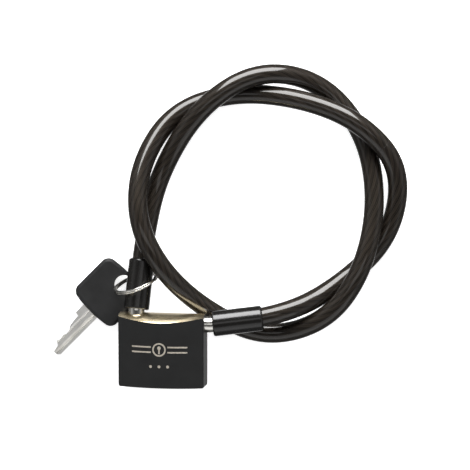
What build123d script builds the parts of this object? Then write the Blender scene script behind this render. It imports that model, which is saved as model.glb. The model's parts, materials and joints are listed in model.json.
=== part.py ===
from build123d import *
import math
import os

os.makedirs("parts", exist_ok=True)

# lock body
body_width = 30.0
body_middle = 13.5
body_side = 8.0
body_height = 25.4
crown_radius = 10.0
corner_radius = 0.8

# how the body lies on the floor: top raised, right side raised
lock_x = 11.35
lock_y = -21.6
lock_z = 7.2
lock_pitch = 7.25
lock_roll = -10.0

# bores for the two cable ends
end_radius = 2.9
bore_radius = 2.95
fixed_x = -9.3
fixed_floor = 13.0
stud_y = 21.9
stud_tip = -1.3
groove_from = 0.7
groove_to = 3.5
groove_floor_radius = 1.9

# plug, bolt and pins
plug_radius = 4.25
plug_bore_radius = 4.3
plug_bore_depth = 15.0
plug_length = 13.5
ramp_slope = 0.337
turn_groove_from = 1.15
turn_groove_to = 3.05
turn_groove_radius = 3.4
pin_radius = 0.9
plug_pin_x = 4.35
plug_pin_y = 2.1
ferrule_pin_y = 16.5
pin_depth = 4.0
keyway_left = -1.6
keyway_right = 3.6
keyway_gap = 2.0
keyway_depth = 12.4
bolt_x = 2.1
bolt_radius = 1.25
bolt_foot = 13.11
bolt_top = 18.85
collar_radius = 2.0
collar_from = 15.05
collar_to = 15.75
spring_chamber_top = 18.0
stack_levels = [4.5, 7.5, 10.5]
key_pin_ends = [-1.15, -0.1, -0.4]
tumbler_radius = 1.25
chamber_radius = 1.3
cap_radius = 1.45
cap_thickness = 1.5

# cable and its sleeves
cable_radius = 3.4
core_radius = 2.2
barrel_radius = 3.2
barrel_length = 9.5
core_inset = 3.0
sleeve_radius = 4.4
sleeve_length = 17.4
sleeve_bore_radius = 3.45
mouth_radius = 3.6
mouth_depth = 3.0

# points the middle of the cable steers by, from the fixed end to the removable end
cable_points = [
    (2.52, 7.87, 8.71), (5.2, 32.4, 6.74), (10.5, 53.3, 3.4), (24.0, 74.8, 11.0),
    (44.0, 87.6, 10.4), (65.8, 84.3, 3.4), (81.2, 66.8, 3.4), (85.7, 43.3, 6.8),
    (80.8, 18.8, 11.8), (68.6, 1.0, 8.9), (47.7, -5.4, 3.4), (28.0, 3.1, 3.4),
    (11.8, 17.0, 13.5), (2.4, 34.6, 15.0), (3.2, 54.8, 9.6), (14.6, 73.4, 3.4),
    (35.7, 80.4, 3.4), (59.7, 77.8, 8.6), (80.2, 69.2, 12.2), (94.2, 53.3, 7.4),
    (90.4, 29.6, 3.4), (72.0, 12.4, 3.4), (52.4, 2.7, 13.1), (31.52, 0.24, 12.87),
]

# key
key_x = -7.33
key_y = 10.69
key_z = 1.34
key_slope = 0.036
head_size = 19.0
head_corner = 3.1
head_arch = 1.0
head_thickness = 2.0
head_hole_radius = 3.33
blade_thickness = 1.9
tang_thickness = 1.0

# split ring
ring_centre = (1.92, 13.93, 7.92)
ring_outer = 8.07
ring_wire = 1.1
ring_coil = 0.59
ring_gap = 0.04
ring_heading = 20.3
ring_lean = 17.0

lock_place = Location((lock_x, lock_y, lock_z), (lock_pitch, lock_roll, 0))


def level(x, y, z=0.0):
    """Plane across the lock at height y, facing its crown."""
    return Plane(lock_place * Plane(origin=(x, y, z), x_dir=(1, 0, 0), z_dir=(0, 1, 0)).location)


def rightward(x, y, z=0.0):
    """Plane facing the right side of the lock."""
    return Plane(lock_place * Plane(origin=(x, y, z), x_dir=(0, 1, 0), z_dir=(1, 0, 0)).location)


def leftward(x, y, z=0.0):
    """Plane facing the left side of the lock."""
    return Plane(lock_place * Plane(origin=(x, y, z), x_dir=(0, 1, 0), z_dir=(-1, 0, 0)).location)


def frontward(x, y, z):
    """Plane facing the front of the lock."""
    return Plane(lock_place * Plane(origin=(x, y, z), x_dir=(1, 0, 0), z_dir=(0, 0, 1)).location)


lock_up = Axis(level(0, 0).origin, level(0, 0).z_dir)
lock_right = Axis(level(0, 0).origin, level(0, 0).x_dir)

# lock body: lens-shaped section with flat sides, domed crown
with BuildPart() as lock_body:
    with BuildSketch(level(0, 0)):
        with BuildLine():
            half = body_width / 2
            side = body_side / 2
            ThreePointArc((-half, -side), (0, -body_middle / 2), (half, -side))
            Line((half, -side), (half, side))
            ThreePointArc((half, side), (0, body_middle / 2), (-half, side))
            Line((-half, side), (-half, -side))
        make_face()
    extrude(amount=body_height)
    fillet(lock_body.edges().filter_by(lock_up), corner_radius)
    fillet(lock_body.edges().group_by(lock_up)[0], 0.6)
    with BuildSketch(rightward(-half - 1, 0)):
        with BuildLine():
            spring_line = body_height - crown_radius + math.sqrt(crown_radius**2 - 64)
            ThreePointArc((spring_line, -8), (body_height, 0), (spring_line, 8))
            Polyline((spring_line, 8), (-1, 8), (-1, -8), (spring_line, -8))
        make_face()
    extrude(amount=body_width + 2, mode=Mode.INTERSECT)
    # blind bore of the fixed end and bore of the removable end
    with BuildSketch(level(fixed_x, fixed_floor)):
        Circle(bore_radius)
    extrude(amount=15, mode=Mode.SUBTRACT)
    with BuildSketch(rightward(stud_tip - 0.3, stud_y)):
        Circle(bore_radius)
    extrude(amount=20, mode=Mode.SUBTRACT)
    # plug bore, spring chamber and bolt hole
    with BuildSketch(level(0, 0)):
        Circle(plug_bore_radius)
    extrude(amount=plug_bore_depth, mode=Mode.SUBTRACT)
    with BuildSketch(level(bolt_x, plug_bore_depth)):
        Circle(collar_radius + 0.05)
    extrude(amount=spring_chamber_top - plug_bore_depth, mode=Mode.SUBTRACT)
    with BuildSketch(level(bolt_x, spring_chamber_top)):
        Circle(bolt_radius + 0.05)
    extrude(amount=stud_y - spring_chamber_top, mode=Mode.SUBTRACT)
    # pin chambers drilled from the left side, with seats for the caps
    for y in stack_levels:
        with BuildSketch(leftward(-3.5, y)):
            Circle(chamber_radius)
        extrude(amount=half, mode=Mode.SUBTRACT)
        with BuildSketch(leftward(-half + cap_thickness, y)):
            Circle(cap_radius)
        extrude(amount=3, mode=Mode.SUBTRACT)
    # blind holes from the back for the two cross pins
    for x, y in [(plug_pin_x, plug_pin_y), (fixed_x, ferrule_pin_y)]:
        with BuildSketch(frontward(x, y, -10)):
            Circle(pin_radius)
        extrude(amount=10 + pin_depth, mode=Mode.SUBTRACT)
lock_body.part.label = "lock_body"
export_step(lock_body.part, "parts/lock_body.step")

# turning plug with keyway, retaining groove and sloped end
with BuildPart() as cylinder_plug:
    with BuildSketch(level(0, 0)):
        Circle(plug_radius)
    extrude(amount=plug_bore_depth)
    slope_side = ramp_slope * 0.7071
    ramp = Plane(origin=(0, plug_length, 0), z_dir=(slope_side, 1, -slope_side))
    ramp = Plane(lock_place * ramp.location)
    split(bisect_by=ramp, keep=Keep.BOTTOM)
    chamfer(cylinder_plug.edges().group_by(lock_up)[0], 0.2)
    with BuildSketch(level(0, turn_groove_from)):
        Circle(plug_radius + 1)
        Circle(turn_groove_radius, mode=Mode.SUBTRACT)
    extrude(amount=turn_groove_to - turn_groove_from, mode=Mode.SUBTRACT)
    with BuildSketch(level(0, 0)):
        with Locations(((keyway_left + keyway_right) / 2, 0)):
            Rectangle(keyway_right - keyway_left, keyway_gap)
        with Locations((2.07, -keyway_gap / 2)):
            Rectangle(0.8, 0.7, mode=Mode.SUBTRACT)
    extrude(amount=keyway_depth, mode=Mode.SUBTRACT)
    for y in stack_levels:
        with BuildSketch(leftward(0.4, y)):
            Circle(chamber_radius)
        extrude(amount=6, mode=Mode.SUBTRACT)
cylinder_plug.part.label = "cylinder_plug"
export_step(cylinder_plug.part, "parts/cylinder_plug.step")

# cross pins: one keeps the plug in, one keeps the fixed ferrule in
with BuildPart() as plug_pin:
    with BuildSketch(frontward(plug_pin_x, plug_pin_y, -6.4)):
        Circle(pin_radius)
    extrude(amount=6.4 + pin_depth)
plug_pin.part.label = "plug_pin"
export_step(plug_pin.part, "parts/plug_pin.step")

with BuildPart() as ferrule_pin:
    with BuildSketch(frontward(fixed_x, ferrule_pin_y, -5.6)):
        Circle(pin_radius)
    extrude(amount=5.6 + pin_depth)
ferrule_pin.part.label = "ferrule_pin"
export_step(ferrule_pin.part, "parts/ferrule_pin.step")

# locking bolt: domed foot, collar and finger
with BuildPart() as locking_bolt:
    with BuildSketch(level(bolt_x, bolt_foot + bolt_radius)):
        Circle(bolt_radius)
    extrude(amount=bolt_top - bolt_foot - bolt_radius)
    chamfer(locking_bolt.edges().group_by(lock_up)[-1], 0.25)
    with BuildSketch(level(bolt_x, collar_from)):
        Circle(collar_radius)
    extrude(amount=collar_to - collar_from)
    with Locations(level(bolt_x, bolt_foot + bolt_radius)):
        Sphere(bolt_radius)
locking_bolt.part.label = "locking_bolt"
export_step(locking_bolt.part, "parts/locking_bolt.step")

with BuildPart() as bolt_spring:
    with BuildLine():
        coil = Helix(pitch=0.85, height=1.7, radius=1.66, mode=Mode.PRIVATE)
        coil = level(bolt_x, collar_to + 0.27).location * coil
        add(coil)
    with BuildSketch(Plane(origin=coil @ 0, z_dir=coil % 0)):
        Circle(0.22)
    sweep(is_frenet=True)
bolt_spring.part.label = "bolt_spring"
export_step(bolt_spring.part, "parts/bolt_spring.step")

# three pin stacks: key pin, driver pin, spring and cap
for number, (y, inner) in enumerate(zip(stack_levels, key_pin_ends), start=1):
    with BuildPart() as key_pin:
        with BuildSketch(leftward(inner, y)):
            Circle(tumbler_radius)
        extrude(amount=inner + 4.08)
        chamfer(key_pin.edges().filter_by(GeomType.CIRCLE).sort_by(lock_right)[-1], 0.5)
    key_pin.part.label = f"key_pin_{number}"
    export_step(key_pin.part, f"parts/key_pin_{number}.step")

    with BuildPart() as driver_pin:
        with BuildSketch(leftward(-4.33, y)):
            Circle(tumbler_radius)
        extrude(amount=3.5)
        fillet(driver_pin.edges().filter_by(GeomType.CIRCLE), 0.15)
    driver_pin.part.label = f"driver_pin_{number}"
    export_step(driver_pin.part, f"parts/driver_pin_{number}.step")

    with BuildPart() as pin_spring:
        with BuildLine():
            coil = Helix(pitch=0.87, height=5.2, radius=0.95, mode=Mode.PRIVATE)
            coil = leftward(-8.05, y).location * coil
            add(coil)
        with BuildSketch(Plane(origin=coil @ 0, z_dir=coil % 0)):
            Circle(0.19)
        sweep(is_frenet=True)
    pin_spring.part.label = f"pin_spring_{number}"
    export_step(pin_spring.part, f"parts/pin_spring_{number}.step")

    with BuildPart() as chamber_cap:
        with BuildSketch(leftward(-half + cap_thickness, y)):
            Circle(cap_radius)
        extrude(amount=cap_thickness)
    chamber_cap.part.label = f"chamber_cap_{number}"
    export_step(chamber_cap.part, f"parts/chamber_cap_{number}.step")

# directions of the two sleeves, pointing away from the lock
first = Vector(*cable_points[0])
last = Vector(*cable_points[-1])
fixed_dir = (Vector(*cable_points[1]) - first).normalized()
free_dir = (Vector(*cable_points[-2]) - last).normalized()
fixed_start = first - fixed_dir * core_inset
free_start = last - free_dir * core_inset

# fixed ferrule: straight in its bore, bent outside it onto the line of its sleeve
with BuildPart() as fixed_ferrule:
    with BuildLine() as neck:
        FilletPolyline(
            level(fixed_x, fixed_floor + 0.2).origin, fixed_start - fixed_dir * 0.1,
            fixed_start + fixed_dir * 2, radius=5
        )
    with BuildSketch(level(fixed_x, fixed_floor + 0.2)):
        Circle(end_radius)
    sweep()
    with BuildSketch(Plane(origin=fixed_start + fixed_dir * 0.8, z_dir=fixed_dir)):
        Circle(barrel_radius)
    extrude(amount=barrel_length - 0.8)
    with BuildSketch(Plane(origin=fixed_start + fixed_dir * core_inset, z_dir=fixed_dir)):
        Circle(core_radius)
    extrude(amount=barrel_length, mode=Mode.SUBTRACT)
    with BuildSketch(frontward(fixed_x, ferrule_pin_y, -10)):
        Circle(pin_radius)
    extrude(amount=10 + pin_depth, mode=Mode.SUBTRACT)
fixed_ferrule.part.label = "fixed_ferrule"
export_step(fixed_ferrule.part, "parts/fixed_ferrule.step")

# removable stud with the groove the bolt drops into
with BuildPart() as end_stud:
    with BuildLine() as neck:
        FilletPolyline(
            rightward(stud_tip, stud_y).origin, free_start - free_dir * 0.85,
            free_start + free_dir * 2, radius=5
        )
    with BuildSketch(rightward(stud_tip, stud_y)):
        Circle(end_radius)
    sweep()
    with BuildSketch(rightward(groove_from, stud_y)):
        Circle(end_radius + 1)
        Circle(groove_floor_radius, mode=Mode.SUBTRACT)
    extrude(amount=groove_to - groove_from, mode=Mode.SUBTRACT)
    with BuildSketch(Plane(origin=free_start + free_dir * 0.8, z_dir=free_dir)):
        Circle(barrel_radius)
    extrude(amount=barrel_length - 0.8)
    with BuildSketch(Plane(origin=free_start + free_dir * core_inset, z_dir=free_dir)):
        Circle(core_radius)
    extrude(amount=barrel_length, mode=Mode.SUBTRACT)
    chamfer(end_stud.edges().sort_by(lock_right)[0], 0.6)
end_stud.part.label = "end_stud"
export_step(end_stud.part, "parts/end_stud.step")

# sleeves over the barrels and the first of the jacket
for name, start, heading in [
    ("fixed_sleeve", fixed_start, fixed_dir), ("end_sleeve", free_start, free_dir)
]:
    sleeve_axis = Axis(start, heading)
    with BuildPart() as sleeve:
        with BuildSketch(Plane(origin=start, z_dir=heading)):
            Circle(sleeve_radius)
        extrude(amount=sleeve_length)
        fillet(sleeve.edges().group_by(sleeve_axis)[0], 0.7)
        fillet(sleeve.edges().group_by(sleeve_axis)[-1], 0.9)
        with BuildSketch(Plane(origin=start, z_dir=heading)):
            Circle(end_radius + 0.05)
        extrude(amount=0.8, mode=Mode.SUBTRACT)
        with BuildSketch(Plane(origin=start + heading * 0.8, z_dir=heading)):
            Circle(barrel_radius)
        extrude(amount=barrel_length - 0.8, mode=Mode.SUBTRACT)
        with BuildSketch(Plane(origin=start + heading * barrel_length, z_dir=heading)):
            Circle(sleeve_bore_radius)
        extrude(amount=sleeve_length, mode=Mode.SUBTRACT)
        with BuildSketch(Plane(origin=start + heading * (sleeve_length - mouth_depth), z_dir=heading)):
            Circle(mouth_radius)
        extrude(amount=mouth_depth, mode=Mode.SUBTRACT)
    sleeve.part.label = name
    export_step(sleeve.part, f"parts/{name}.step")


def bend_radii(points):
    """Radius at each inner point that uses 0.45 of the shorter run beside it."""
    found = []
    for before, here, after in zip(points, points[1:], points[2:]):
        run_in = Vector(*here) - Vector(*before)
        run_out = Vector(*after) - Vector(*here)
        half_turn = math.radians(run_in.get_angle(run_out)) / 2
        found.append(0.45 * min(run_in.length, run_out.length) / math.tan(half_turn))
    return found


radii = bend_radii(cable_points)
print("bend radii:", [round(r, 1) for r in radii])

# steel rope inside the cable, from barrel to barrel
with BuildPart() as cable_core:
    with BuildLine() as core_route:
        FilletPolyline(*cable_points, radius=radii)
    with BuildSketch(Plane(origin=first, z_dir=fixed_dir)):
        Circle(core_radius)
    sweep()
cable_core.part.label = "cable_core"
export_step(cable_core.part, "parts/cable_core.step")

# jacket over the rope, starting where the barrels end
jacket_trim = barrel_length - core_inset
jacket_points = [tuple(first + fixed_dir * jacket_trim)]
jacket_points += cable_points[1:-1]
jacket_points += [tuple(last + free_dir * jacket_trim)]
with BuildPart() as cable_jacket:
    with BuildLine() as jacket_route:
        FilletPolyline(*jacket_points, radius=radii)
    with BuildSketch(Plane(origin=jacket_points[0], z_dir=fixed_dir)):
        Circle(cable_radius)
        Circle(core_radius, mode=Mode.SUBTRACT)
    sweep()
cable_jacket.part.label = "cable_jacket"
export_step(cable_jacket.part, "parts/cable_jacket.step")

for name, body, line, area in [
    ("core", cable_core, core_route, math.pi * core_radius**2),
    ("jacket", cable_jacket, jacket_route, math.pi * (cable_radius**2 - core_radius**2)),
]:
    length = line.wire().length
    print(name, "length", round(length, 2), "volume", round(body.part.volume, 1),
          "section x length", round(area * length, 1))

# key: plastic head over a flat tang, and the cut blade
key_plane = Plane(
    origin=(key_x, key_y, key_z), x_dir=(0.7071, 0.7071, key_slope),
    z_dir=(-0.7071 * key_slope, -0.7071 * key_slope, 1)
)
half_head = head_size / 2
with BuildPart() as key_head:
    with BuildSketch(key_plane):
        with BuildLine():
            ThreePointArc((half_head - head_arch, -half_head), (half_head, 0),
                          (half_head - head_arch, half_head))
            Line((half_head - head_arch, half_head), (-half_head + head_arch, half_head))
            ThreePointArc((-half_head + head_arch, half_head), (-half_head, 0),
                          (-half_head + head_arch, -half_head))
            Line((-half_head + head_arch, -half_head), (half_head - head_arch, -half_head))
        outline = make_face()
        fillet(outline.vertices(), head_corner)
    extrude(amount=head_thickness)
    chamfer(key_head.edges().group_by(Axis(key_plane.origin, key_plane.z_dir))[0], 0.4)
    head_top = key_head.faces().sort_by(Axis(key_plane.origin, key_plane.z_dir))[-1]
    chamfer(head_top.edges(), length=1.1, length2=0.35, reference=head_top)
    with BuildSketch(key_plane):
        with Locations((5.38, -1.72)):
            Circle(head_hole_radius)
    extrude(amount=head_thickness, mode=Mode.SUBTRACT)
    with BuildSketch(key_plane.offset((head_thickness - tang_thickness) / 2)):
        with Locations((-6, 0)):
            Rectangle(7, 6)
    extrude(amount=tang_thickness, mode=Mode.SUBTRACT)
    with BuildSketch(key_plane.offset((head_thickness - tang_thickness) / 2)):
        with Locations((-9.5, 0)):
            Rectangle(1, 6)
    extrude(amount=tang_thickness, mode=Mode.SUBTRACT)
key_head.part.label = "key_head"
export_step(key_head.part, "parts/key_head.step")

with BuildPart() as key_blade:
    with BuildSketch(key_plane.offset((head_thickness - blade_thickness) / 2)):
        with BuildLine():
            Polyline(
                (-9.5, -3.25), (-9.5, 3.35), (-13.5, 3.35), (-13.5, 1.92), (-15.0, 1.92),
                (-18.1, 1.47), (-19.5, 0.59), (-20.9, 0.42), (-22.0, 0.98), (-24.1, 0.7),
                (-25.1, 1.36), (-25.8, -0.35), (-28.4, -0.87), (-28.4, -2.2), (-27.4, -3.25),
                close=True
            )
        make_face()
    extrude(amount=blade_thickness)
    with BuildSketch(key_plane.offset((head_thickness - tang_thickness) / 2)):
        with Locations((-6, 0)):
            Rectangle(7, 6)
    extrude(amount=tang_thickness)
    # lengthwise grooves milled in the upper side, each with a sloping wall
    blade_top = (head_thickness + blade_thickness) / 2
    across_blade = Plane(
        origin=key_plane.from_local_coords((-9.5, 0, blade_top)),
        x_dir=key_plane.y_dir, z_dir=-key_plane.x_dir
    )
    with BuildSketch(across_blade):
        with BuildLine():
            Polyline((-2.4, 0), (-2.25, 1.1), (-1.05, 0), close=True)
        make_face()
    extrude(amount=20, mode=Mode.SUBTRACT)
    with BuildSketch(across_blade):
        with BuildLine():
            Polyline((0.15, 0), (0.25, 0.4), (0.95, 0), close=True)
        make_face()
    extrude(amount=20, mode=Mode.SUBTRACT)
key_blade.part.label = "key_blade"
export_step(key_blade.part, "parts/key_blade.step")

# split ring: two flat coils touching at one short step
heading = math.radians(ring_heading)
lean = math.radians(ring_lean)
across = Vector(math.cos(heading), math.sin(heading), 0)
upward = Vector(
    math.sin(heading) * math.sin(lean), -math.cos(heading) * math.sin(lean), math.cos(lean)
)
ring_plane = Plane(origin=ring_centre, x_dir=across, z_dir=across.cross(upward))
with BuildPart() as key_ring:
    for offset in [-ring_coil - ring_gap / 2, ring_gap / 2]:
        with BuildSketch(ring_plane.offset(offset)):
            Circle(ring_outer)
            Circle(ring_outer - ring_wire, mode=Mode.SUBTRACT)
        extrude(amount=ring_coil)
    with BuildSketch(ring_plane.offset(-ring_coil)):
        with BuildLine():
            step_outside = CenterArc((0, 0), ring_outer, 60, 14)
            step_inside = CenterArc((0, 0), ring_outer - ring_wire, 60, 14)
            Line(step_outside @ 0, step_inside @ 0)
            Line(step_outside @ 1, step_inside @ 1)
        make_face()
    extrude(amount=2 * ring_coil + ring_gap)
key_ring.part.label = "key_ring"
export_step(key_ring.part, "parts/key_ring.step")
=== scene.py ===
import json
import math

import bpy
import numpy as np
from mathutils import Matrix, Vector


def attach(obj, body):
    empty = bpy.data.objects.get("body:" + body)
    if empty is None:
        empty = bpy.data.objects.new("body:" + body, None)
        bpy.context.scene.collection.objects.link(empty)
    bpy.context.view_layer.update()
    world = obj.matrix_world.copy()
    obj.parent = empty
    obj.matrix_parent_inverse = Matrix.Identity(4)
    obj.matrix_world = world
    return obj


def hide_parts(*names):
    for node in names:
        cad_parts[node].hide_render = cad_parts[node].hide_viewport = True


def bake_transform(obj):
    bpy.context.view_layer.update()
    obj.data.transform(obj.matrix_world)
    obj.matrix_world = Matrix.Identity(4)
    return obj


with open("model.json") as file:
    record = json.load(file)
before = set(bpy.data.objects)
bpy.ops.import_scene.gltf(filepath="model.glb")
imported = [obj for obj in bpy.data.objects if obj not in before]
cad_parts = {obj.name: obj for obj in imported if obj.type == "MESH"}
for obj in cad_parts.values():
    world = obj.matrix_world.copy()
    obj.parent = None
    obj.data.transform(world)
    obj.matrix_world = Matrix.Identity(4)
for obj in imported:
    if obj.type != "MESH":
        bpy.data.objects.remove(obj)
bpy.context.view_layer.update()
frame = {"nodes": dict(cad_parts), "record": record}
MM = 0.001

# ---------------------------------------------------------------- places shared with the CAD
CABLE_POINTS = [
    (2.52, 7.87, 8.71), (5.2, 32.4, 6.74), (10.5, 53.3, 3.4), (24.0, 74.8, 11.0),
    (44.0, 87.6, 10.4), (65.8, 84.3, 3.4), (81.2, 66.8, 3.4), (85.7, 43.3, 6.8),
    (80.8, 18.8, 11.8), (68.6, 1.0, 8.9), (47.7, -5.4, 3.4), (28.0, 3.1, 3.4),
    (11.8, 17.0, 13.5), (2.4, 34.6, 15.0), (3.2, 54.8, 9.6), (14.6, 73.4, 3.4),
    (35.7, 80.4, 3.4), (59.7, 77.8, 8.6), (80.2, 69.2, 12.2), (94.2, 53.3, 7.4),
    (90.4, 29.6, 3.4), (72.0, 12.4, 3.4), (52.4, 2.7, 13.1), (31.52, 0.24, 12.87),
]
CABLE_RADIUS = 3.4 * MM
CORE_RADIUS = 2.2 * MM
JACKET_TRIM = 6.5 * MM
SEAM_ROW = 0.05 * MM
LOCK_ORIGIN = Vector((11.35, -21.6, 7.2)) * MM
LOCK_TURN = Matrix.Rotation(math.radians(7.25), 3, "X") @ Matrix.Rotation(math.radians(-10), 3, "Y")
RING_CENTRE = Vector((1.92, 13.93, 7.92)) * MM
# the body's domed top and front face, in the lock's own frame
DOME_AXIS_LEVEL = 15.4 * MM
DOME_RADIUS = 10 * MM
DOME_TOLERANCE = 0.06 * MM
DOME_FROM = 4 * MM
FRONT_FROM = 3 * MM

route = [Vector(p) * MM for p in CABLE_POINTS]
fixed_dir = (route[1] - route[0]).normalized()
free_dir = (route[-2] - route[-1]).normalized()


# ---------------------------------------------------------------- node helpers
class Shader:
    """A new material whose nodes are added one at a time around one Principled shader."""

    def __init__(self, name):
        self.material = bpy.data.materials.new(name)
        self.material.use_nodes = True
        self.tree = self.material.node_tree
        self.bsdf = self.tree.nodes["Principled BSDF"]

    def node(self, kind, inputs=(), **settings):
        made = self.tree.nodes.new("ShaderNode" + kind)
        for key, value in settings.items():
            setattr(made, key, value)
        for key, value in dict(inputs).items():
            self.put(made.inputs[key], value)
        return made

    def put(self, socket, value):
        if isinstance(value, bpy.types.NodeSocket):
            self.tree.links.new(value, socket)
        else:
            socket.default_value = value

    def math(self, operation, a, b=0.0):
        return self.node("Math", {0: a, 1: b}, operation=operation).outputs[0]

    def ramp(self, value, low, high, to_low=0.0, to_high=1.0):
        inputs = {"Value": value, "From Min": low, "From Max": high, "To Min": to_low, "To Max": to_high}
        return self.node("MapRange", inputs).outputs[0]

    def mix(self, factor, a, b):
        made = self.node("Mix", data_type="RGBA")
        self.put(made.inputs[0], factor)
        self.put(made.inputs[6], a)
        self.put(made.inputs[7], b)
        return made.outputs[2]

    def noise(self, vector, scale, detail=3.0, roughness=0.55):
        inputs = {"Vector": vector, "Scale": scale, "Detail": detail, "Roughness": roughness}
        return self.node("TexNoise", inputs).outputs["Fac"]

    def stretched(self, vector, scale):
        return self.node("Mapping", {"Vector": vector, "Scale": scale}).outputs[0]

    def bump(self, height, distance):
        inputs = {"Height": height, "Distance": distance, "Strength": 1.0}
        return self.node("Bump", inputs).outputs[0]

    def row(self):
        """Where a point is in the row frame, in metres."""
        return self.node("TexCoord").outputs["Object"]

    def local(self, origin, turn):
        """Where a point is in a piece's own frame, in metres."""
        rotation = turn.to_euler("XYZ")
        inputs = {"Vector": self.row(), "Location": origin, "Rotation": rotation}
        return self.node("Mapping", inputs, vector_type="TEXTURE").outputs[0]

    def edges(self, radius, low=0.80, high=0.985):
        """1 along outer and inner edges, 0 on the open faces."""
        rounded = self.node("Bevel", {"Radius": radius}, samples=6).outputs[0]
        flat = self.node("NewGeometry").outputs["Normal"]
        dot = self.node("VectorMath", {0: rounded, 1: flat}, operation="DOT_PRODUCT").outputs["Value"]
        return self.ramp(dot, low, high, 1.0, 0.0)

    def set(self, **values):
        for key, value in values.items():
            self.put(self.bsdf.inputs[key.replace("_", " ").title()], value)


def metal(name, colour, roughness, grain, grain_scale=(1, 1, 1), heading=0.0, edge_glint=0.25, depth=2e-6):
    """Metal with fine working marks stretched along one way, smoother edges, and a painted highlight
    that brightens the colour along the edges.
    """
    s = Shader(name)
    turned = s.local(Vector((0, 0, 0)), Matrix.Rotation(math.radians(heading), 3, "Z"))
    where = s.stretched(turned, grain_scale)
    fine = s.noise(where, grain, 4.0, 0.6)
    broad = s.noise(s.row(), 180.0, 3.0)
    edge = s.edges(0.00022)
    dark = [c * 0.85 for c in colour] + [1]
    light = [min(1.0, c * 1.12) for c in colour] + [1]
    tone = s.mix(s.ramp(broad, 0.3, 0.7), dark, list(colour) + [1])
    # painted highlight: a lighter copy of the colour along the edges
    s.set(base_color=s.mix(s.math("MULTIPLY", edge, edge_glint), tone, light), metallic=1.0)
    rough = s.ramp(fine, 0.3, 0.7, roughness * 0.75, roughness * 1.3)
    s.set(roughness=s.math("SUBTRACT", rough, s.math("MULTIPLY", edge, roughness * 0.3)))
    s.set(normal=s.bump(fine, depth))
    return s.material


def plastic(name, colour, roughness, grain, depth, coat=0.0, blunt=0.80, edge_highlight_gain=1.7):
    """Moulded plastic with a fine surface grain, faint flow marks, slightly polished edges, and a
    painted highlight that lightens the colour along the edges.
    """
    s = Shader(name)
    fine = s.noise(s.row(), grain, 4.0, 0.6)
    broad = s.noise(s.row(), 90.0, 2.0)
    edge = s.edges(0.0003, blunt, 0.996)
    # painted highlight: a lighter copy of the colour, laid along the edges together with the random flow
    # marks
    edge_highlighted = [c * edge_highlight_gain + 0.004 for c in colour] + [1]
    flow_marks_and_edge_highlight = s.math("ADD", s.ramp(broad, 0.35, 0.75, 0.0, 0.35), s.math("MULTIPLY", edge, 0.5))
    s.set(base_color=s.mix(flow_marks_and_edge_highlight, list(colour) + [1], edge_highlighted))
    rough = s.ramp(fine, 0.3, 0.7, roughness * 0.85, roughness * 1.2)
    s.set(roughness=s.math("SUBTRACT", rough, s.math("MULTIPLY", edge, roughness * 0.35)))
    s.bsdf.inputs["Coat Weight"].default_value = coat
    s.bsdf.inputs["Coat Roughness"].default_value = 0.06
    s.set(normal=s.bump(fine, depth))
    return s.material


def coated_body():
    """Matte black coating on the faces, bare brass on the domed top, a worn line where they meet, and a
    painted highlight that pales the brass along its edges.
    """
    s = Shader("body_coating")
    place = s.local(LOCK_ORIGIN, LOCK_TURN)
    axes = s.node("SeparateXYZ", {0: place})
    x, y, z = axes.outputs
    rise = s.math("SUBTRACT", y, DOME_AXIS_LEVEL)
    reach = s.math("SQRT", s.math("ADD", s.math("MULTIPLY", rise, rise), s.math("MULTIPLY", z, z)))
    off_dome = s.math("ABSOLUTE", s.math("SUBTRACT", reach, DOME_RADIUS))
    on_dome = s.math("LESS_THAN", off_dome, DOME_TOLERANCE)
    crown = s.math("MULTIPLY", on_dome, s.math("GREATER_THAN", rise, DOME_FROM))
    edge = s.edges(0.00025, 0.75, 0.98)
    # coating
    fine = s.noise(s.row(), 5200.0, 4.0, 0.6)
    broad = s.noise(s.row(), 140.0, 3.0)
    black = s.mix(s.ramp(broad, 0.3, 0.75), (0.0045, 0.0047, 0.0048, 1), (0.0080, 0.0082, 0.0083, 1))
    chips = s.ramp(s.noise(s.row(), 900.0, 5.0, 0.7), 0.56, 0.64)
    worn = s.math("MULTIPLY", s.math("MULTIPLY", edge, chips), 0.5)
    black = s.mix(worn, black, (0.30, 0.23, 0.12, 1))
    # brass with fine lines along the width
    lines = s.noise(s.stretched(place, (90, 4200, 4200)), 1.0, 4.0, 0.65)
    brass = s.mix(s.ramp(lines, 0.3, 0.7), (0.74, 0.61, 0.38, 1), (0.88, 0.77, 0.56, 1))
    # painted highlight: the brass pales to near white along its edges
    brass = s.mix(s.math("MULTIPLY", edge, 0.8), brass, (0.92, 0.88, 0.78, 1))
    # etched mark on the front: a keyhole plate between two bars, and three dots under it
    front = s.math("GREATER_THAN", z, FRONT_FROM)
    mark = s.math("MULTIPLY", etched(s, x, y), front)
    speckle = s.ramp(s.noise(place, 2500.0, 3.0), 0.35, 0.7)
    pale = s.mix(speckle, (0.52, 0.47, 0.39, 1), (0.72, 0.66, 0.57, 1))
    face = s.mix(mark, black, pale)
    s.set(base_color=s.mix(crown, face, brass))
    s.set(metallic=s.math("MAXIMUM", crown, s.math("MULTIPLY", mark, 0.6)))
    matt = s.ramp(fine, 0.3, 0.7, 0.40, 0.52)
    bare = s.ramp(lines, 0.3, 0.7, 0.22, 0.34)
    s.set(roughness=s.node("Mix", {0: crown, 2: matt, 3: bare}, data_type="FLOAT").outputs[0])
    grain = s.node("Mix", {0: crown, 2: fine, 3: lines}, data_type="FLOAT").outputs[0]
    raised = s.math("SUBTRACT", grain, s.math("MULTIPLY", mark, 6.0))
    s.set(normal=s.bump(raised, 4e-6))
    return s.material


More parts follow.
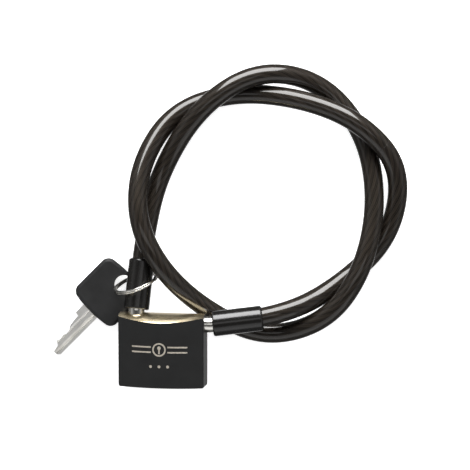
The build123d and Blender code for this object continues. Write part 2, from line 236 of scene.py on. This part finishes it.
def etched(s, x, y):
    """Mask of the generic mark, from the place across and up the front face."""
    def bar(cx, cy, half_w, half_h):
        inside_x = s.math("LESS_THAN", s.math("ABSOLUTE", s.math("SUBTRACT", x, cx * MM)), half_w * MM)
        inside_y = s.math("LESS_THAN", s.math("ABSOLUTE", s.math("SUBTRACT", y, cy * MM)), half_h * MM)
        return s.math("MULTIPLY", inside_x, inside_y)

    def distance(cx, cy):
        dx = s.math("SUBTRACT", x, cx * MM)
        dy = s.math("SUBTRACT", y, cy * MM)
        return s.math("SQRT", s.math("ADD", s.math("MULTIPLY", dx, dx), s.math("MULTIPLY", dy, dy)))

    def disc(cx, cy, radius):
        return s.math("LESS_THAN", distance(cx, cy), radius * MM)

    def hoop(cx, cy, radius, half_line):
        off = s.math("ABSOLUTE", s.math("SUBTRACT", distance(cx, cy), radius * MM))
        return s.math("LESS_THAN", off, half_line * MM)

    shapes = [hoop(0, 13.6, 2.1, 0.26), disc(0, 14.2, 0.62), bar(0, 13.0, 0.28, 0.9)]
    for side in (-1, 1):
        shapes += [bar(side * 6.3, 14.5, 3.4, 0.26), bar(side * 6.3, 12.7, 3.4, 0.26)]
    shapes += [disc(cx, 7.7, 0.5) for cx in (-3.0, 0, 3.0)]
    total = shapes[0]
    for shape in shapes[1:]:
        total = s.math("MAXIMUM", total, shape)
    return total


def smoky_jacket():
    """Glossy dark plastic, opaque, with the tone of the rope's strands showing faintly in it."""
    s = Shader("jacket")
    uv = s.node("SeparateXYZ", {0: s.node("UVMap", uv_map="lay").outputs[0]})
    along, around = uv.outputs[0], uv.outputs[1]
    lay_length, strand_waves, wire_waves = 62 * MM, 11, 31
    laid = s.math("SUBTRACT", around, s.math("DIVIDE", along, lay_length))
    wobble = s.math("MULTIPLY", s.math("SUBTRACT", s.noise(s.row(), 150.0, 2.0), 0.5), 0.05)
    turned = s.math("ADD", laid, wobble)
    wave = s.math("SINE", s.math("MULTIPLY", turned, 2 * math.pi * strand_waves))
    fine = s.math("SINE", s.math("MULTIPLY", turned, 2 * math.pi * wire_waves))
    strand = s.ramp(s.math("ADD", wave, s.math("MULTIPLY", fine, 0.6)), -1.3, 1.3)
    patch = s.ramp(s.noise(s.row(), 70.0, 2.0), 0.35, 0.7, 0.5, 1.0)
    depth = s.math("MULTIPLY", strand, patch)
    s.set(base_color=s.mix(depth, (0.0045, 0.0034, 0.0025, 1), (0.022, 0.0175, 0.0135, 1)))
    grain = s.noise(s.row(), 900.0, 3.0)
    s.set(roughness=s.ramp(grain, 0.3, 0.7, 0.42, 0.52))
    s.bsdf.inputs["Specular IOR Level"].default_value = 0.12
    s.bsdf.inputs["Specular Tint"].default_value = (0.95, 0.80, 0.64, 1)
    s.bsdf.inputs["Coat Weight"].default_value = 1.0
    s.bsdf.inputs["Coat Roughness"].default_value = 0.09
    s.set(normal=s.bump(s.noise(s.row(), 380.0, 2.0), 4e-6))
    return s.material


def rope_material():
    """Dull grey steel wire."""
    s = Shader("rope")
    fine = s.noise(s.row(), 2600.0, 3.0)
    s.set(base_color=s.mix(s.ramp(fine, 0.3, 0.7), (0.10, 0.095, 0.09, 1), (0.24, 0.23, 0.22, 1)))
    s.set(metallic=1.0, roughness=s.ramp(fine, 0.3, 0.7, 0.35, 0.55), normal=s.bump(fine, 6e-6))
    return s.material


MATERIALS = {
    "body_coating": coated_body(),
    "brass": metal("brass", (0.74, 0.58, 0.30), 0.28, 3200.0, (1, 0.15, 1)),
    "steel": metal("steel", (0.56, 0.56, 0.57), 0.30, 3600.0, (1, 0.2, 1)),
    "nickel": metal("nickel", (0.86, 0.84, 0.79), 0.17, 2400.0, (0.3, 1, 1)),
    "sleeve": plastic("sleeve", (0.005, 0.0045, 0.004), 0.20, 2300.0, 1.5e-6, coat=0.2),
    "jacket": smoky_jacket(),
    "rope": rope_material(),
    # the key head gets a strong painted highlight along its edges
    "key_plastic": plastic("key_plastic", (0.0055, 0.0055, 0.0057), 0.36, 4200.0, 4e-6,
                           blunt=0.95, edge_highlight_gain=7.0),
    "nickel_silver": metal("nickel_silver", (0.88, 0.87, 0.84), 0.36, 3000.0, (0.06, 1, 1), 45.0),
}

for part in frame["record"]["subparts"]:
    node = frame["nodes"][part["node"]]
    node.data.materials.clear()
    node.data.materials.append(MATERIALS[part["material_slot"]])


# ---------------------------------------------------------------- cable
def smooth_line(points):
    """Points along the NURBS line that has the given control points."""
    data = bpy.data.curves.new("line", "CURVE")
    data.dimensions = "3D"
    data.resolution_u = 20
    spline = data.splines.new("NURBS")
    spline.points.add(len(points) - 1)
    for knot, p in zip(spline.points, points):
        knot.co = (*p, 1)
    spline.order_u = 3
    spline.use_endpoint_u = True
    carrier = bpy.data.objects.new("line", data)
    bpy.context.scene.collection.objects.link(carrier)
    bpy.context.view_layer.update()
    solved = carrier.evaluated_get(bpy.context.evaluated_depsgraph_get())
    read = bpy.data.meshes.new_from_object(solved)
    line = [v.co.copy() for v in read.vertices]
    bpy.data.objects.remove(carrier)
    bpy.data.curves.remove(data)
    bpy.data.meshes.remove(read)
    return line


def carried_frames(line, first, last, start_side=Vector((0, 0, 1))):
    """Two sideways directions at each point of the line, turning as little as possible."""
    tangents = [first]
    for i in range(1, len(line) - 1):
        tangents.append((line[i + 1] - line[i - 1]).normalized())
    tangents.append(last)
    side = (start_side - tangents[0] * start_side.dot(tangents[0])).normalized()
    frames = []
    for t in tangents:
        side = (side - t * side.dot(t)).normalized()
        frames.append((side, t.cross(side)))
    return frames


def swept(name, line, frames, around, radius_at, lay_from=0.0):
    """A closed tube along the line; its uv holds metres along and turns around."""
    verts, lengths, far = [], [], lay_from
    for i, (p, (a, b)) in enumerate(zip(line, frames)):
        if i:
            far += (p - line[i - 1]).length
        lengths.append(far)
        for k in range(around):
            angle = 2 * math.pi * k / around
            verts.append(p + (a * math.cos(angle) + b * math.sin(angle)) * radius_at(angle, far))
    faces, lay = [], []
    for i in range(len(line) - 1):
        for k in range(around):
            here, there = i * around, (i + 1) * around
            nxt = (k + 1) % around
            faces.append((here + k, here + nxt, there + nxt, there + k))
            lay.append([(lengths[i], k / around), (lengths[i], (k + 1) / around),
                        (lengths[i + 1], (k + 1) / around), (lengths[i + 1], k / around)])
    last = (len(line) - 1) * around
    faces.append(tuple(reversed(range(around))))
    faces.append(tuple(range(last, last + around)))
    lay += [[(0, 0)] * around, [(0, 0)] * around]
    mesh = bpy.data.meshes.new(name)
    mesh.from_pydata([tuple(v) for v in verts], [], faces)
    layer = mesh.uv_layers.new(name="lay")
    layer.data.foreach_set("uv", np.array([c for face in lay for uv in face for c in uv], "f"))
    mesh.polygons.foreach_set("use_smooth", [True] * (len(faces) - 2) + [False] * 2)
    made = bpy.data.objects.new(name, mesh)
    bpy.context.scene.collection.objects.link(made)
    return made, far


# each tube is two pieces that meet end to end: the loop goes with the lock, the last stretch is a piece
# of its own
seam = (route[18] + route[19]) / 2
seam_dir = (route[19] - route[18]).normalized()
jacket_a = [route[0] + fixed_dir * JACKET_TRIM] + route[1:19] + [seam]
jacket_b = [seam] + route[19:23] + [route[-1] + free_dir * JACKET_TRIM]
core_a = route[:19] + [seam]
core_b = [seam] + route[19:]


def strands(angle, far):
    """Outline of six strands laid round a middle one, turning along the rope."""
    count, lay_length, groove = 6, 44 * MM, 0.10
    turn = angle * count + 2 * math.pi * count * far / lay_length
    return CORE_RADIUS * (1 - groove + groove * abs(math.cos(turn / 2)))


for kind, first, second, around, profile, diameter in [
    ("jacket", jacket_a, jacket_b, 36, lambda angle, far: CABLE_RADIUS, 2 * CABLE_RADIUS),
    ("core", core_a, core_b, 48, strands, 2 * CORE_RADIUS),
]:
    main_line = smooth_line(first)
    tail_line = smooth_line(second)
    # a row of faces close to the seam gives both pieces the same shading there
    main_line.insert(-1, seam - seam_dir * SEAM_ROW)
    tail_line.insert(1, seam + seam_dir * SEAM_ROW)
    main_frames = carried_frames(main_line, fixed_dir, seam_dir)
    tail_frames = carried_frames(tail_line, seam_dir, -free_dir, main_frames[-1][0])
    main, reached = swept(f"cable_{kind}_loop", main_line, main_frames, around, profile)
    tail, total = swept(f"cable_{kind}_tail", tail_line, tail_frames, around, profile, reached)
    for piece in (main, tail):
        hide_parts(f"cable_{kind}")
        piece.data.materials.append(MATERIALS["jacket" if kind == "jacket" else "rope"])
    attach(main, "lock")
    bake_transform(tail)
    print(kind, "loop", round(reached, 4), "tail", round(total - reached, 4))


# ---------------------------------------------------------------- bolt spring
# the coil between the bolt's collar and the end of its chamber, as a copy of the spring's mesh
coil = bpy.data.objects.new("bolt_spring_coil", frame["nodes"]["bolt_spring"].data.copy())
bpy.context.scene.collection.objects.link(coil)
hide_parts("bolt_spring")
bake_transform(coil)


# ---------------------------------------------------------------- split ring
def split_ring():
    """Two turns of flat wire; the wire steps across once, and its two ends lie at the step."""
    heading, lean = math.radians(20.3), math.radians(17.0)
    across = Vector((math.cos(heading), math.sin(heading), 0))
    level = Vector((math.sin(heading), -math.cos(heading), 0))
    upward = level * math.sin(lean) + Vector((0, 0, math.cos(lean)))
    through = across.cross(upward)
    middle, half_radial, half_axial, coil = 7.52 * MM, 0.55 * MM, 0.295 * MM, 0.315 * MM
    around, squareness, section = 16, 0.45, []
    for k in range(around):
        a = 2 * math.pi * k / around
        c, d = math.cos(a), math.sin(a)
        radial = math.copysign(abs(c) ** squareness, c) * half_radial
        axial = math.copysign(abs(d) ** squareness, d) * half_axial
        section.append((radial, axial))
    steps, start, sweep = 200, math.radians(40), math.radians(712)
    cross_from, cross_share = 0.46, 0.08
    verts, faces = [], []
    for i in range(steps + 1):
        t = i / steps
        angle = start + t * sweep
        step = min(1.0, max(0.0, (t - cross_from) / cross_share))
        lift = coil * (2 * step * step * (3 - 2 * step) - 1)
        out = across * math.cos(angle) + upward * math.sin(angle)
        for r, h in section:
            verts.append(RING_CENTRE + out * (middle + r) + through * (lift + h))
    for i in range(steps):
        here, there = i * around, (i + 1) * around
        for k in range(around):
            nxt = (k + 1) % around
            faces.append((here + k, here + nxt, there + nxt, there + k))
    faces.append(tuple(reversed(range(around))))
    faces.append(tuple(range(steps * around, (steps + 1) * around)))
    mesh = bpy.data.meshes.new("split_ring")
    mesh.from_pydata([tuple(v) for v in verts], [], faces)
    mesh.polygons.foreach_set("use_smooth", [True] * (len(faces) - 2) + [False] * 2)
    made = bpy.data.objects.new("split_ring", mesh)
    bpy.context.scene.collection.objects.link(made)
    made.data.materials.append(MATERIALS["nickel"])
    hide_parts("key_ring")
    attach(made, "ring")


split_ring()


# ---------------------------------------------------------------- stage
def floor():
    """A pale plain floor that glows a little and isn't seen in reflections."""
    half = 3
    corners = [(-half, -half, 0), (half, -half, 0), (half, half, 0), (-half, half, 0)]
    mesh = bpy.data.meshes.new("floor")
    mesh.from_pydata(corners, [], [(0, 1, 2, 3)])
    made = bpy.data.objects.new("floor", mesh)
    bpy.context.scene.collection.objects.link(made)
    s = Shader("floor")
    s.set(base_color=(0.90, 0.90, 0.90, 1), roughness=0.8)
    s.bsdf.inputs["Emission Color"].default_value = (1, 1, 1, 1)
    s.bsdf.inputs["Emission Strength"].default_value = 0.80
    made.data.materials.append(s.material)
    made.visible_glossy = False


def softbox(name, place, aim, size, power):
    """A rectangular light at place, turned towards aim; size in metres and power in watts."""
    data = bpy.data.lights.new(name, "AREA")
    data.shape = "RECTANGLE"
    data.size, data.size_y = size
    data.energy = power
    made = bpy.data.objects.new(name, data)
    made.location = place
    made.rotation_euler = (Vector(aim) - Vector(place)).to_track_quat("-Z", "Y").to_euler()
    bpy.context.scene.collection.objects.link(made)


floor()
# soft surroundings, in bands from straight down (0) to straight up (1)
world = bpy.data.worlds.new("studio")
world.use_nodes = True
sky = world.node_tree
heading = sky.nodes.new("ShaderNodeTexCoord")
split = sky.nodes.new("ShaderNodeSeparateXYZ")
height = sky.nodes.new("ShaderNodeMapRange")
height.inputs["From Min"].default_value = -1.0
glow = sky.nodes.new("ShaderNodeValToRGB")
bands = glow.color_ramp.elements
bands[0].position, bands[0].color = 0.0, (0.9, 0.9, 0.9, 1)
bands[1].position, bands[1].color = 1.0, (0.05, 0.05, 0.05, 1)
for place, level in [(0.04, 0.7), (0.15, 0.06), (0.5, 0.16), (0.72, 0.50), (0.88, 0.16)]:
    bands.new(place).color = (level, level, level, 1)
sky.links.new(heading.outputs["Generated"], split.inputs[0])
sky.links.new(split.outputs["Z"], height.inputs["Value"])
sky.links.new(height.outputs[0], glow.inputs[0])
sky.links.new(glow.outputs[0], sky.nodes["Background"].inputs["Color"])
bpy.context.scene.world = world
bpy.context.scene.view_settings.view_transform = "Standard"
aim = (0.0362, 0.0305, 0.0)
softbox("key_light", (0.036, 0.88, 0.50), aim, (1.0, 0.74), 27.0)
softbox("top_light", (0.036, 0.05, 1.25), aim, (1.0, 0.3), 0.8)
softbox("fill_light", (0.036, -0.85, 0.55), aim, (1.8, 0.8), 2.5)

# straight above, with a view 0.164 m wide at the floor
EYE_HEIGHT, VIEW_WIDTH, SENSOR_WIDTH = 1.0, 0.164, 36.0
camera = bpy.data.cameras.new("camera")
camera.sensor_width = SENSOR_WIDTH
camera.lens = SENSOR_WIDTH * EYE_HEIGHT / VIEW_WIDTH
camera.clip_start = 0.05
eye = bpy.data.objects.new("camera", camera)
eye.location = (0.0363, 0.03052, EYE_HEIGHT)
bpy.context.scene.collection.objects.link(eye)
bpy.context.scene.camera = eye
